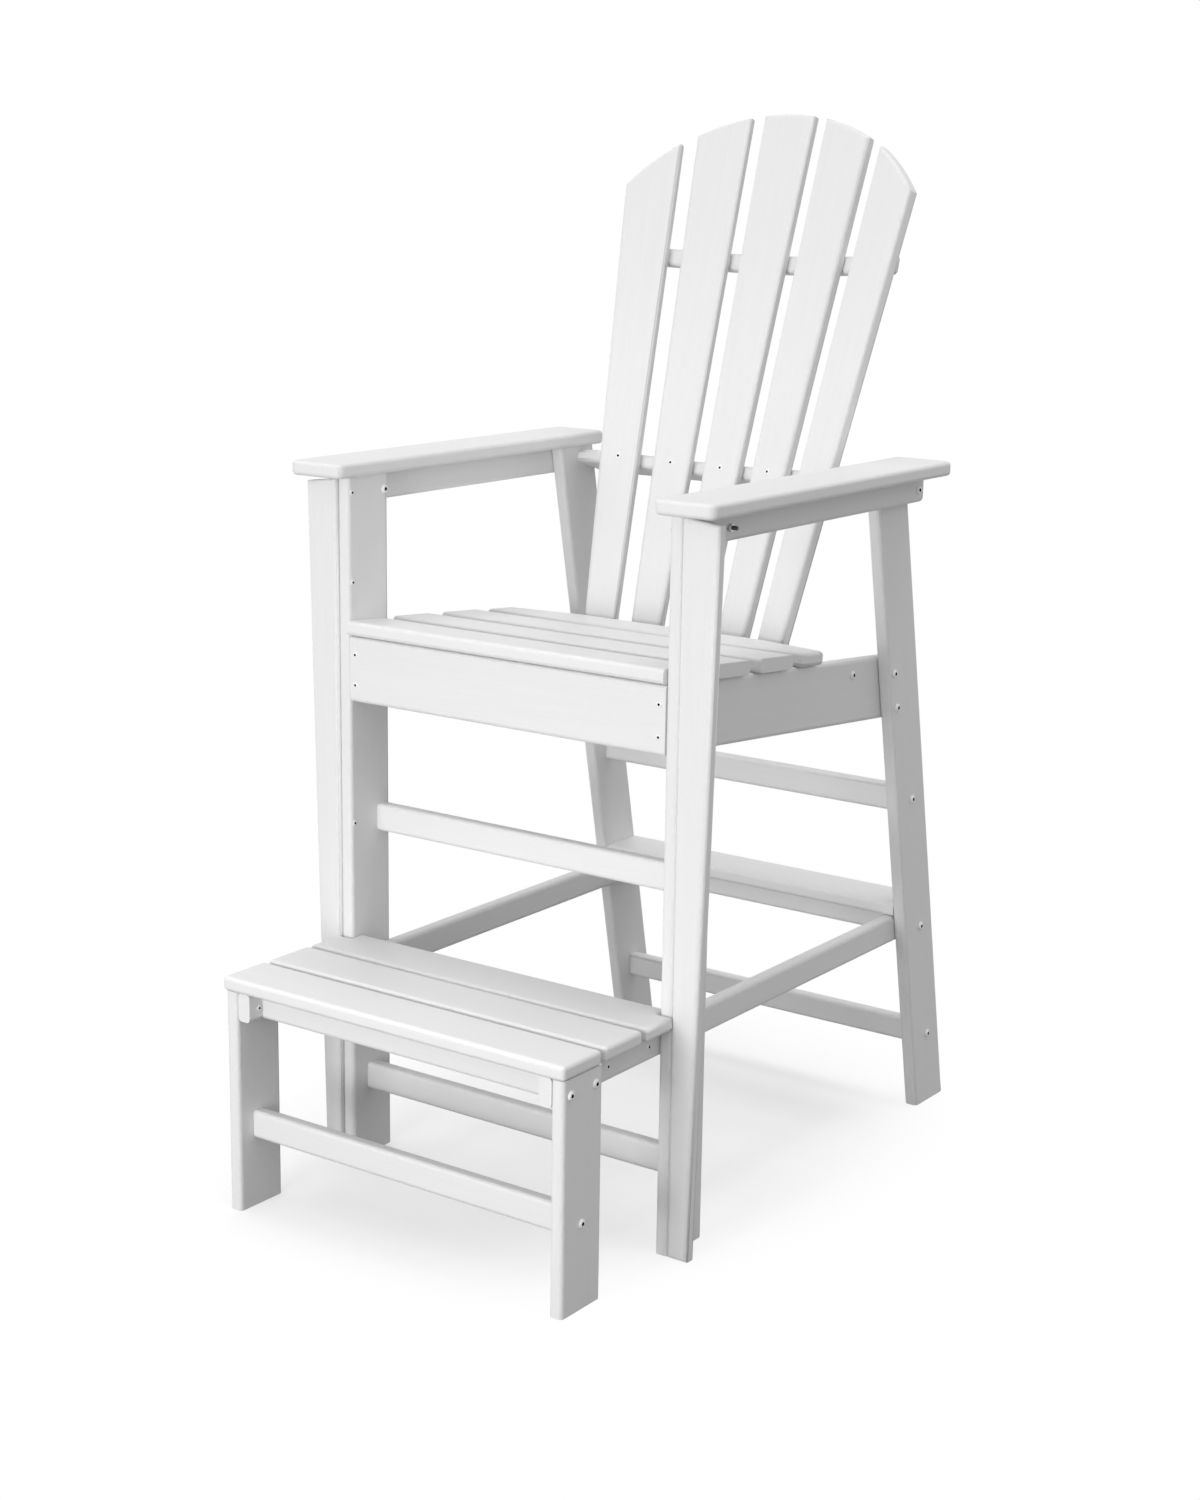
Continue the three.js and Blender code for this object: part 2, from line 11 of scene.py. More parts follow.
import bmesh
import bpy
from mathutils import Matrix, Vector


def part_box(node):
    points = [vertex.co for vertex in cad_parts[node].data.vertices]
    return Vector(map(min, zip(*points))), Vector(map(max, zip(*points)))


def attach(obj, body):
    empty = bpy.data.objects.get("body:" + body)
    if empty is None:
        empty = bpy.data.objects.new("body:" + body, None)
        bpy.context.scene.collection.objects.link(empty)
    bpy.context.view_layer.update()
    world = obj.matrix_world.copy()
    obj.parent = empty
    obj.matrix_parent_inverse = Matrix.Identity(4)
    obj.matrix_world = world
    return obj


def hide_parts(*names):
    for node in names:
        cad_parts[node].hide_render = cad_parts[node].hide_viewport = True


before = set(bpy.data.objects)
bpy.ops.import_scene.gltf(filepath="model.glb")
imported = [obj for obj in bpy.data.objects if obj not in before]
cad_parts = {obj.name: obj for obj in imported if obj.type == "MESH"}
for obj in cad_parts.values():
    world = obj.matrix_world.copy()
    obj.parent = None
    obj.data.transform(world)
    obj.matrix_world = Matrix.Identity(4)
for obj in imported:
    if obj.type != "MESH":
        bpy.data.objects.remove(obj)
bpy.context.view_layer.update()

# %% [markdown]
# ## Where the photographer stood
# The camera stands in front of the chair, off to the sitter's left, at about the height of its back.
# A camera can be turned by three angles, but two points are easier to reason about: where it is, and what it looks at.
# So the lens is aimed from one point to the other, and then rolled by a fraction of a degree, as a hand or tripod does.
# The lens length belongs with a sensor 36 mm high, because the picture stands upright.
# The Standard view shows each grey as it is written, which a film-like view would bend.

# %% Stand the camera
millimetre = 0.001
sensor_height = 36
focal_length = 59.67
camera_place = Vector((2.0641, -2.9379, 1.4736))
camera_target = Vector((-0.0608, 0.0465, 0.6092))
camera_roll = math.radians(0.84)

lens = bpy.data.cameras.new("camera")
lens.sensor_fit = "VERTICAL"
lens.sensor_height = sensor_height
lens.lens = focal_length
camera = bpy.data.objects.new("camera", lens)
bpy.context.scene.collection.objects.link(camera)
aim = (camera_target - camera_place).to_track_quat("-Z", "Y").to_matrix().to_4x4()
camera.matrix_world = Matrix.Translation(camera_place) @ aim @ Matrix.Rotation(camera_roll, 4, "Z")
bpy.context.scene.camera = camera
bpy.context.scene.view_settings.view_transform = "Standard"
print("camera to target", round((camera_target - camera_place).length, 3), "m")

# %% [markdown]
# ## Sums that run through a finish
# A finish is a little machine of nodes. Wiring each sum by hand hides what it means, so a value that runs
# through a finish is wrapped in a small class. Adding, subtracting or multiplying wrapped values adds the Math nodes.
# Each of the three has a reflected form, which serves a plain number that stands first, as in 1 - mask.
# Every other node comes from one method, which sets what kind of node it is first and its sockets after.

# %% Wrap a value of a finish
class Signal:
    """A value on its way through a finish. A sum on it adds a Math node."""

    def __init__(self, finish, socket):
        self.finish = finish
        self.socket = socket

    def worked(self, operation, first, second):
        node = self.finish.add("ShaderNodeMath", {"operation": operation}, {0: first, 1: second})
        return node["Value"]

    def __add__(self, other):
        return self.worked("ADD", self, other)

    def __radd__(self, other):
        return self.worked("ADD", other, self)

    def __sub__(self, other):
        return self.worked("SUBTRACT", self, other)

    def __rsub__(self, other):
        return self.worked("SUBTRACT", other, self)

    def __mul__(self, other):
        return self.worked("MULTIPLY", self, other)

    def __rmul__(self, other):
        return self.worked("MULTIPLY", other, self)


# %% [markdown]
# ## A finish to add nodes to
# A material and the world both keep their nodes in a tree. A finish is that tree, emptied first, so that nothing in it
# was left there by a default. One method adds any kind of node, which keeps each recipe below to a few lines.

# %% Start a finish, and add nodes to it
class Finish:
    """The nodes of one material, or of the world."""

    def __init__(self, owner):
        owner.use_nodes = True
        self.owner = owner
        self.tree = owner.node_tree
        self.tree.nodes.clear()

    def add(self, kind, settings, sockets):
        """Adds a node, sets it up, fills or links its sockets, and gives its outputs by name."""
        node = self.tree.nodes.new(kind)
        for name, value in settings.items():
            setattr(node, name, value)
        for name, value in sockets.items():
            if isinstance(value, Signal):
                self.tree.links.new(value.socket, node.inputs[name])
            else:
                node.inputs[name].default_value = value
        return {output.name: Signal(self, output) for output in node.outputs}

    def grey_colour(self, shade):
        """A colour with the same red, green and blue."""
        return self.add("ShaderNodeCombineColor", {}, {"Red": shade, "Green": shade, "Blue": shade})["Color"]


# %% [markdown]
# ## The studio
# The photograph is a cut-out on pure white with a soft grey shadow round the feet.
# More light would turn a grey floor white, but it would bleach the chair as well. So the floor and the world are
# written white only where the camera or a mirror-like reflection sees them, and light the chair as plain grey.
# The floor keeps a diffuse share of itself, which is what the chair's shadow darkens, and it fades to white outwards.

# %% Light the room
room_light = 0.68
seen_white = 1.0


def seen_directly(finish):
    """One where the camera, a reflection or a view through glass meets the surface, and nought elsewhere."""
    path = finish.add("ShaderNodeLightPath", {}, {})
    camera_or_gloss = path["Is Camera Ray"] + path["Is Glossy Ray"]
    return camera_or_gloss + path["Is Transmission Ray"]


world = bpy.data.worlds.new("studio")
bpy.context.scene.world = world
sky = Finish(world)
sky_strength = seen_directly(sky) * (seen_white - room_light) + room_light
backdrop = sky.add("ShaderNodeBackground", {}, {"Color": (1, 1, 1, 1), "Strength": sky_strength})
sky.add("ShaderNodeOutputWorld", {}, {"Surface": backdrop["Background"]})
print("room light", room_light)

# %% [markdown]
# ## Four lamps
# The fronts of the boards are evenly bright in the photograph, and even the stretchers deep inside the chair are lit.
# Such light comes from far in front and from only a little above the seat, so a wide lamp stands eight metres away.
# The step would stay too dark, and so would the feet and the stretchers behind it, which it shades. Two small lamps
# stand close by for them, one at the height of the seat and one as low as the step. Both are narrow and stand a little
# right of the middle, so they light the inner faces of the left legs and hardly touch the outer faces on the right.
# The seat and the arms need light from above. The last lamp hangs far up, so that the high arms and the low step
# get nearly the same of it, and a little to the rear, because the leaning back would catch too much otherwise.

# %% Hang the lamps
lamp_target = Vector((0, 0, 0.75))


def hang_lamp(name, place, width, height, power):
    """A soft lamp: a lit rectangle that faces the chair."""
    light = bpy.data.lights.new(name, "AREA")
    light.shape = "RECTANGLE"
    light.size = width
    light.size_y = height
    light.energy = power
    lamp = bpy.data.objects.new(name, light)
    lamp.matrix_world = Matrix.Translation(place) @ (
        (lamp_target - place).to_track_quat("-Z", "Y").to_matrix().to_4x4()
    )
    bpy.context.scene.collection.objects.link(lamp)
    print(name, tuple(round(value, 2) for value in place), power, "W")


hang_lamp("front_lamp", Vector((0, -8, 1.7)), width=4.0, height=1.4, power=214)
hang_lamp("near_lamp", Vector((0.1, -2.2, 0.9)), width=0.5, height=0.5, power=4.5)
hang_lamp("low_lamp", Vector((0.2, -2.2, 0.28)), width=0.3, height=0.3, power=4.5)
hang_lamp("top_lamp", Vector((0, 1.8, 14)), width=8.75, height=7.0, power=580)

# %% [markdown]
# ## A floor that fades to white
# Under the chair the floor is grey enough to take a soft shadow, and a step further out it has to be gone.
# A mask painted over the picture would do that for one view. Here the floor's own finish fades with the distance
# from the middle of the shadow, so it works from every side.

# %% Lay the floor
floor_half = 6.0
floor_grey = 0.62
bounce_grey = 0.15
floor_lift = 0.43
shadow_middle = Vector((-0.18, 0.05, 0))
shadow_reach = Vector((0.68, 0.80, 1))
fade_start = 0.55
fade_end = 1.0

floor_finish = Finish(bpy.data.materials.new("studio_floor"))
floor_places = floor_finish.add("ShaderNodeTexCoord", {}, {})["Object"]
shadow_frame = {"Vector": floor_places, "Location": shadow_middle, "Scale": shadow_reach}
in_shadow = floor_finish.add("ShaderNodeMapping", {"vector_type": "TEXTURE"}, shadow_frame)["Vector"]
from_middle = floor_finish.add("ShaderNodeVectorMath", {"operation": "LENGTH"}, {0: in_shadow})["Value"]
fade = floor_finish.add(
    "ShaderNodeMapRange",
    {"interpolation_type": "SMOOTHSTEP"},
    {"Value": from_middle, "From Min": fade_start, "From Max": fade_end},
)["Result"]
seen = seen_directly(floor_finish)
grey = seen * (floor_grey - bounce_grey) + bounce_grey
matt = floor_finish.add("ShaderNodeBsdfDiffuse", {}, {"Color": floor_finish.grey_colour(grey)})["BSDF"]
lift = floor_finish.add("ShaderNodeEmission", {}, {"Strength": seen * floor_lift})["Emission"]
lifted = floor_finish.add("ShaderNodeAddShader", {}, {0: matt, 1: lift})["Shader"]
white = floor_finish.add("ShaderNodeEmission", {}, {"Strength": seen_white})["Emission"]
floor_mix = floor_finish.add("ShaderNodeMixShader", {}, {0: seen * fade, 1: lifted, 2: white})["Shader"]
floor_finish.add("ShaderNodeOutputMaterial", {}, {"Surface": floor_mix})

ground = bmesh.new()
bmesh.ops.create_grid(ground, x_segments=1, y_segments=1, size=floor_half)
ground_mesh = bpy.data.meshes.new("floor")
ground.to_mesh(ground_mesh)
ground.free()
ground_mesh.materials.append(floor_finish.owner)
floor = bpy.data.objects.new("floor", ground_mesh)
bpy.context.scene.collection.objects.link(floor)
print("floor", 2 * floor_half, "m across")

# %% [markdown]
# ## White plastic board
# The boards are drawn from white plastic with a shallow grain, like a planed softwood painted over.
# The grain runs along each board, so the pattern has to know which way a board runs: a Mapping node turns the
# coordinates until their first axis lies along it, and stretches the noise along that axis.
# Noise is used rather than waves, because the real streaks start and stop.
# The round edges were cut later, through the skin. The cutter chattered, so they wander by a fraction of a millimetre
# and glint in places. They get a second finish, with a shorter and deeper pattern of the same kind.

# %% Mix the board's finish
board_white = 0.80
board_roughness = 0.46
board_gloss = 0.3
streak_pitch = 3.2 * millimetre
pit_pitch = 0.9 * millimetre
mottle_pitch = 1.6 * millimetre
sweep_pitch = 14 * millimetre
streak_relief = 0.5
pit_relief = 0.3
mottle_relief = 0.16
streak_dullness = 0.22
mottle_dullness = 0.1
mottle_contrast = 0.05
sweep_contrast = 0.03
noise_middle = 0.5
skin = {"stretch": 26, "contrast": 0.05, "depth": 0.6 * millimetre}
cut_edge = {"stretch": 4, "contrast": 0.16, "depth": 2.4 * millimetre}


def noise(finish, coordinates, pitch, detail):
    """Cloudy noise from nought to one, about a middle of a half. Its features are a pitch apart, in metres."""
    sockets = {"Vector": coordinates, "Scale": 1 / pitch, "Detail": detail, "Roughness": 0.6}
    return finish.add("ShaderNodeTexNoise", {}, sockets)["Fac"]


def plastic_finish(name, run, surface):
    """White plastic whose grain runs along a direction."""
    finish = Finish(bpy.data.materials.new(name))
    places = finish.add("ShaderNodeTexCoord", {}, {})["Object"]
    turned = {
        "Vector": places,
        "Rotation": run.to_track_quat("X", "Z").to_euler(),
        "Scale": (surface["stretch"], 1, 1),
    }
    along = finish.add("ShaderNodeMapping", {"vector_type": "TEXTURE"}, turned)["Vector"]
    streaks = noise(finish, along, streak_pitch, detail=4)
    pits = noise(finish, along, pit_pitch, detail=3)
    mottle = noise(finish, places, mottle_pitch, detail=2)
    sweep = noise(finish, along, sweep_pitch, detail=2)
    shade = board_white + (streaks - noise_middle) * surface["contrast"]
    shade = shade + (mottle - noise_middle) * mottle_contrast + (sweep - noise_middle) * sweep_contrast
    dullness = board_roughness + (streaks - noise_middle) * streak_dullness + (mottle - noise_middle) * mottle_dullness
    relief = {
        "Height": streaks * streak_relief + pits * pit_relief + mottle * mottle_relief,
        "Strength": 0.5,
        "Distance": surface["depth"],
    }
    sockets = {
        "Base Color": finish.grey_colour(shade),
        "Roughness": dullness,
        "Normal": finish.add("ShaderNodeBump", {}, relief)["Normal"],
        "Specular IOR Level": board_gloss,
    }
    plastic = finish.add("ShaderNodeBsdfPrincipled", {}, sockets)["BSDF"]
    finish.add("ShaderNodeOutputMaterial", {}, {"Surface": plastic})
    return finish.owner


def board_finishes(name, run):
    """The finish of a board's flats, and that of its round edges."""
    return [plastic_finish(name, run, skin), plastic_finish(name + "_edge", run, cut_edge)]


print("skin", skin, "cut edge", cut_edge)

# %% [markdown]
# ## A finish for each way that a board runs
# Most boards run across, lengthwise or upright. One finish could not serve all three, because the grain turns with the
# board, so there is a pair for each way: one finish for the flats, and one for the cut edges.

# %% Mix the finishes of the straight boards
across = Vector((1, 0, 0))
lengthwise = Vector((0, 1, 0))
upright = Vector((0, 0, 1))
finishes_across = board_finishes("white_board_across", across)
finishes_lengthwise = board_finishes("white_board_lengthwise", lengthwise)
finishes_upright = board_finishes("white_board_upright", upright)
print("board finishes for three directions")

# %% [markdown]
# ## Finding how a leaning board runs
# The rear legs lean forward, the seat's rails fall to the rear, and each slat of the back leans its own way.
# Their lean could be typed again, but the solids know it already. The longest edge of such a board lies along it,
# within a degree or two on the slats, which taper. So the finish reads the direction there, and follows the board.

# %% Read a board's direction
weld = 0.01 * millimetre
flat_enough = math.radians(1)


def merged_copy(node):
    """A copy of a solid with its loose triangles joined and its flats made whole."""
    shape = bmesh.new()
    shape.from_mesh(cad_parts[node].data)
    bmesh.ops.remove_doubles(shape, verts=shape.verts, dist=weld)
    bmesh.ops.dissolve_limit(shape, angle_limit=flat_enough, verts=shape.verts, edges=shape.edges)
    return shape


def run_of(node):
    """The direction of a board's longest edge, pointing up."""
    shape = merged_copy(node)
    longest = max(shape.edges, key=lambda edge: edge.calc_length())
    run = (longest.verts[0].co - longest.verts[1].co).normalized()
    shape.free()
    return -run if run.z < 0 else run


for node in ("rear_leg_left", "seat_side_rail_left", "back_slat_1", "back_slat_3"):
    print(node, tuple(round(value, 3) for value in run_of(node)))

# %% [markdown]
# ## Edges run over with a round cutter
# Every long edge of the real boards has a radius of about 6 mm, and it catches a bright line of light.
# The solids have a flat cut there. A round could be made by cutting anew, but the flat already touches the round at
# its middle. If the two edges of each flat are bevelled until the bevels meet, it turns into a true quarter round.
# Only edges that turn by about 45 degrees are taken, so sawn ends and bolt holes stay crisp.

# %% Round the long edges of a board
edge_radius = 5.975 * millimetre
flat_cut = 3.5 * millimetre
bevel_width = edge_radius - flat_cut
bevel_steps = 3
flat_cut_turn = 45
turn_slack = 5
edge_slot = 1


def turns_by(edge, least, most):
    """True where two faces meet at an edge and turn by an angle between two limits, in degrees."""
    return edge.is_manifold and least < math.degrees(edge.calc_face_angle()) < most


def bevel(shape, edges, width, steps):
    """Rounds edges. Only the new round is shaded smooth and has the edge finish, so that the flats stay flat."""
    made = bmesh.ops.bevel(
        shape,
        geom=edges,
        offset=width,
        segments=steps,
        profile=0.5,
        affect="EDGES",
        material=-1,
        clamp_overlap=False,
    )
    for face in made["faces"]:
        face.smooth = True
        face.material_index = edge_slot


def edges_of(shape, faces):
    """The edges round some faces, each once, in the order of the shape."""
    return [edge for edge in shape.edges if any(face in faces for face in edge.link_faces)]


def rounded_copy(node):
    """A copy of a solid whose flat-cut edges are rounded."""
    shape = merged_copy(node)
    least, most = flat_cut_turn - turn_slack, flat_cut_turn + turn_slack
    edges = [edge for edge in shape.edges if turns_by(edge, least, most)]
    bevel(shape, edges, bevel_width, bevel_steps)
    bmesh.ops.remove_doubles(shape, verts=shape.verts, dist=2 * weld)
    return shape


def place_piece(name, shape, finishes, slot, *nodes):
    """Makes the finished piece, fixes it to the chair, and takes the place of the plain solids."""
    mesh = bpy.data.meshes.new(name)
    shape.to_mesh(mesh)
    shape.free()
    for finish in finishes:
        mesh.materials.append(finish)
    piece = bpy.data.objects.new(name, mesh)
    bpy.context.scene.collection.objects.link(piece)
    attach(piece, "root")
    if nodes:
        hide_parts(*nodes)
    return piece


def round_board(node, finishes):
    """Makes the rounded copy of a board and puts it in the board's place."""
    piece = place_piece("rounded_" + node, rounded_copy(node), finishes, "white_board", node)
    print(node, len(piece.data.polygons), "faces")


# %% [markdown]
# ## Legs
# Each front leg is two boards at a right angle: one along the side, and a tapered one across the front. The rear legs
# are single boards that lean forward, and the step stands on two short ones. All are rounded in the same way, so one
# loop over left and right makes each pair, and only the direction of the grain differs. Each hand is kept with its
# way along X, which the bolts need later to know where outwards is.

# %% Legs
hands = {"left": -1, "right": 1}

for hand in hands:
    round_board("leg_side_board_" + hand, finishes_upright)
    round_board("leg_front_board_" + hand, finishes_upright)
    round_board("step_leg_" + hand, finishes_upright)

finishes_rear_leg = board_finishes("white_board_rear_leg", run_of("rear_leg_left"))
for hand in hands:
    round_board("rear_leg_" + hand, finishes_rear_leg)

# %% [markdown]
# ## Rails and stretchers
# Rails run from front to rear, and stretchers, aprons and cleats run across. Each could be a fresh box with a bevel,
# but some have slanted or notched ends, and a rounded copy of the solid keeps those cuts as they are.

# %% Rails and stretchers
finishes_seat_rail = board_finishes("white_board_seat_rail", run_of("seat_side_rail_left"))
for hand in hands:
    round_board("seat_side_rail_" + hand, finishes_seat_rail)
    round_board("long_side_rail_" + hand, finishes_lengthwise)

for node in (
    "seat_apron",
    "front_middle_stretcher",
    "front_low_stretcher",
    "rear_upper_stretcher",
    "rear_lower_stretcher",
    "rear_shelf_board",
    "rear_shelf_stretcher",
    "step_stretcher",
    "step_apron",
    "step_cleat_front",
    "step_cleat_rear",
):
    round_board(node, finishes_across)

# %% [markdown]
# ## Slats of the back
# Five slats spread like a fan, and an arch is cut across their tops. Each leans its own way, so each has a finish
# of its own with the grain along it. The three boards behind them run across.

# %% Back
back_slats = ["back_slat_" + str(number) for number in range(1, 6)]

for node in back_slats:
    round_board(node, board_finishes("white_board_" + node, run_of(node)))

for node in ("back_lower_crossmember", "back_middle_rail", "back_upper_rail"):
    round_board(node, finishes_across)

# %% [markdown]
# ## Boards sawn anew
# The arms, the rails under them and the slats of the step have rounded corners as well as rounded rims.
# The solids turn such a corner in six straight steps, and on the step's slats in one. Here the blank is sawn again from
# the solid's own box: first the corners are rounded through the thickness, and then both rims with the round cutter.
# Two slats of the seat are plainer. Their long edges are rounded, and their sawn ends are only eased by hand.

# %% Saw and round a blank
x_axis, z_axis = 0, 2
corner_steps = 8
rim_steps = 6
end_ease = 0.9 * millimetre
end_ease_steps = 2
parallel = 0.99


def box_in(node, turn):
    """The lowest and highest corner of a solid, measured in a turned frame."""
    back = turn.inverted()
    corners = [back @ vertex.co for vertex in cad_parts[node].data.vertices]
    lowest = Vector([min(corner[axis] for corner in corners) for axis in range(3)])
    highest = Vector([max(corner[axis] for corner in corners) for axis in range(3)])
    return lowest, highest


def blank(lowest, highest):
    """A square-edged board that fills a box."""
    shape = bmesh.new()
    bmesh.ops.create_cube(shape, size=1)
    bmesh.ops.scale(shape, vec=highest - lowest, verts=shape.verts)
    bmesh.ops.translate(shape, vec=(highest + lowest) / 2, verts=shape.verts)
    return shape


def runs_along(edge, axis):
    """True for an edge that lies along X, Y or Z."""
    span = edge.verts[1].co - edge.verts[0].co
    return abs(span[axis]) > parallel * span.length


def round_rims(shape, axis):
    """Rounds the rims of the two broad faces, which look along an axis."""
    broad = [face for face in shape.faces if abs(face.normal[axis]) > parallel]
    bevel(shape, edges_of(shape, broad), edge_radius, rim_steps)
    bmesh.ops.remove_doubles(shape, verts=shape.verts, dist=2 * weld)


def rounded_blank(node, turn, axis, corner_radius, is_rounded):
    """A board with some of its corners rounded through its thickness, and both rims rounded."""
    shape = blank(*box_in(node, turn))
    corners = [edge for edge in shape.edges if runs_along(edge, axis) and is_rounded(edge)]
    bevel(shape, corners, corner_radius, corner_steps)
    round_rims(shape, axis)
    bmesh.ops.transform(shape, matrix=turn, verts=shape.verts)
    return shape


def sawn_slat(node, turn):
    """A board that runs across, with round long edges, and sawn ends that are only eased."""
    shape = blank(*box_in(node, turn))
    bevel(shape, [edge for edge in shape.edges if runs_along(edge, x_axis)], edge_radius, rim_steps)
    ends = [face for face in shape.faces if abs(face.normal.x) > parallel]
    bevel(shape, edges_of(shape, ends), end_ease, end_ease_steps)
    bmesh.ops.transform(shape, matrix=turn, verts=shape.verts)
    return shape


print("edge radius", round(edge_radius / millimetre, 2), "mm in", rim_steps, "steps")

# %% [markdown]
# ## Arms, and the rails under them
# An arm has all four corners rounded, because people brush past them. The rail under it stands on edge, and only the
# low corner of its rear end is rounded. The function above takes a question to ask of every corner, so the arm answers
# yes to all, and the rail says which one it means.

# %% Arms and their rails
arm_corner_radius = 12 * millimetre
arm_rail_corner_radius = 8 * millimetre
level = Matrix.Identity(4)
rail_middle_height = sum(corner.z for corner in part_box("arm_rail_left")) / 2


def is_low_rear(edge):
    """True for the edge at the bottom of a rail's rear end."""
    middle = (edge.verts[0].co + edge.verts[1].co) / 2
    return middle.y > 0 and middle.z < rail_middle_height


for hand in hands:
    arm = "arm_" + hand
    rail = "arm_rail_" + hand
    arm_shape = rounded_blank(arm, level, z_axis, arm_corner_radius, lambda edge: True)
    rail_shape = rounded_blank(rail, level, x_axis, arm_rail_corner_radius, is_low_rear)
    place_piece("rounded_" + arm, arm_shape, finishes_lengthwise, "white_board", arm)
    place_piece("rounded_" + rail, rail_shape, finishes_lengthwise, "white_board", rail)
    print(arm, "and its rail")

# %% [markdown]
# ## Slats of the seat and the step
# The seat falls to the rear, so its slats are sawn in a frame that is turned with the seat's rail. The direction found
# above points up the rail, and so to the front, and its signs are turned about to give the slope to the rear.
# The step's slats lie level. The first and last slats of the seat, and the notched one of the step, keep the outlines
# of their solids.

# %% Slats of the seat and the step
slat_corner_radius = 6 * millimetre
seat_run = run_of("seat_side_rail_left")
seat_slope = math.atan2(-seat_run.z, -seat_run.y)
seat_turn = Matrix.Rotation(seat_slope, 4, "X")

for node in ("seat_slat_2", "seat_slat_3"):
    place_piece("rounded_" + node, sawn_slat(node, seat_turn), finishes_across, "white_board", node)
for node in ("step_slat_1", "step_slat_2"):
    slat_shape = rounded_blank(node, level, z_axis, slat_corner_radius, lambda edge: True)
    place_piece("rounded_" + node, slat_shape, finishes_across, "white_board", node)
for node in ("seat_slat_1", "seat_slat_4", "step_slat_3"):
    round_board(node, finishes_across)
print("seat falls by", round(-math.degrees(seat_slope), 2), "degrees")

# %% [markdown]
# ## Paint for the heads, and steel
# The boards are held by bolts with low white heads, and by smaller screws. Their paint is whiter and glossier than the
# boards, so each head shows a bright crescent. The drive in its middle is painted nearly black and mirrors nothing,
# which is painted shade for the deep recess. The shanks are of dark steel with a little
# shine, as the end that comes out through each arm's rail shows, and the nuts on them are bright with zinc.

# %% Mix the paint of the heads, the painted shade of the sockets, and bare steel
paint_white = 0.9
paint_mottle = 0.06
paint_roughness = 0.16
paint_unevenness = 0.1
paint_pitch = 1.1 * millimetre
steel_pitch = 1.4 * millimetre
steel_mottle = 0.4
steel_unevenness = 0.2
usual_mirroring = 0.5


def head_finish():
    """White paint on metal, slightly uneven."""
    finish = Finish(bpy.data.materials.new("white_bolt_paint"))
    places = finish.add("ShaderNodeTexCoord", {}, {})["Object"]
    cloud = noise(finish, places, paint_pitch, detail=2)
    relief = {"Height": cloud, "Strength": 0.25, "Distance": 0.1 * millimetre}
    sockets = {
        "Base Color": finish.grey_colour(paint_white + (cloud - noise_middle) * paint_mottle),
        "Roughness": paint_roughness + cloud * paint_unevenness,
        "Normal": finish.add("ShaderNodeBump", {}, relief)["Normal"],
    }
    paint = finish.add("ShaderNodeBsdfPrincipled", {}, sockets)["BSDF"]
    finish.add("ShaderNodeOutputMaterial", {}, {"Surface": paint})
    return finish.owner


def steel_and_shade_finish(name, brightness, bareness, dullness):
    """Steel, mottled by handling. Bare metal has a bareness of 1. A bareness of 0 mirrors nothing, and with a
    near-black brightness it is the painted shade in the sockets.
    """
    finish = Finish(bpy.data.materials.new(name))
    places = finish.add("ShaderNodeTexCoord", {}, {})["Object"]
    cloud = noise(finish, places, steel_pitch, detail=3)
    relief = {"Height": cloud, "Strength": 0.3, "Distance": 0.1 * millimetre}
    sockets = {
        "Base Color": finish.grey_colour(brightness + (cloud - noise_middle) * steel_mottle * brightness),
        "Metallic": bareness,
        "Roughness": dullness + cloud * steel_unevenness,
        "Normal": finish.add("ShaderNodeBump", {}, relief)["Normal"],
        "Specular IOR Level": usual_mirroring * bareness,
    }
    steel = finish.add("ShaderNodeBsdfPrincipled", {}, sockets)["BSDF"]
    finish.add("ShaderNodeOutputMaterial", {}, {"Surface": steel})
    return finish.owner


white_paint = head_finish()
# Painted shade for the sockets: nearly black, and mirroring nothing.
painted_socket_shade = steel_and_shade_finish("painted_socket_shade", brightness=0.006, bareness=0.0, dullness=0.6)
plain_steel = steel_and_shade_finish("plain_steel", brightness=0.07, bareness=1.0, dullness=0.3)
zinc_steel = steel_and_shade_finish("zinc_steel", brightness=0.62, bareness=1.0, dullness=0.35)
print("paint and three steels mixed")

# %% [markdown]
# ## A head with a socket
# A head is a shape of revolution, so a few points down its side are spun about its axis. Its drive is a six-sided
# socket, which a spin can't give. So the spin leaves the middle of the head open, the ring from that rim to a hexagon
# is filled, and the hexagon is pushed down.
# Bridging the two loops sounds simpler. But one has 24 points and the other 6, and such a bridge can twist across the
# hole and close it, while a fill keeps to the ring.

# %% Spin a head, and sink its socket
spin_steps = 24
hexagon_sides = 6
crisp_turn = 35
any_turn = 181
socket_slot = 1
shank_slot = 2


def spun(profile):
    """A shape of revolution about Z, from (radius, height) pairs. An end off the axis stays open."""
    shape = bmesh.new()
    points = [shape.verts.new((radius, 0, height)) for radius, height in profile]
    edges = [shape.edges.new(pair) for pair in zip(points, points[1:])]
    bmesh.ops.spin(
        shape,
        geom=points + edges,
        cent=(0, 0, 0),
        axis=(0, 0, 1),
        angle=math.tau,
        steps=spin_steps,
        use_merge=True,
    )
    bmesh.ops.remove_doubles(shape, verts=shape.verts, dist=weld)
    return shape


def fill_ring(shape, outline, hole):
    """Fills the flat ring between an outline and a hole, which are two loops of edges at one height."""
    bmesh.ops.triangle_fill(shape, edges=outline + hole, use_beauty=True)


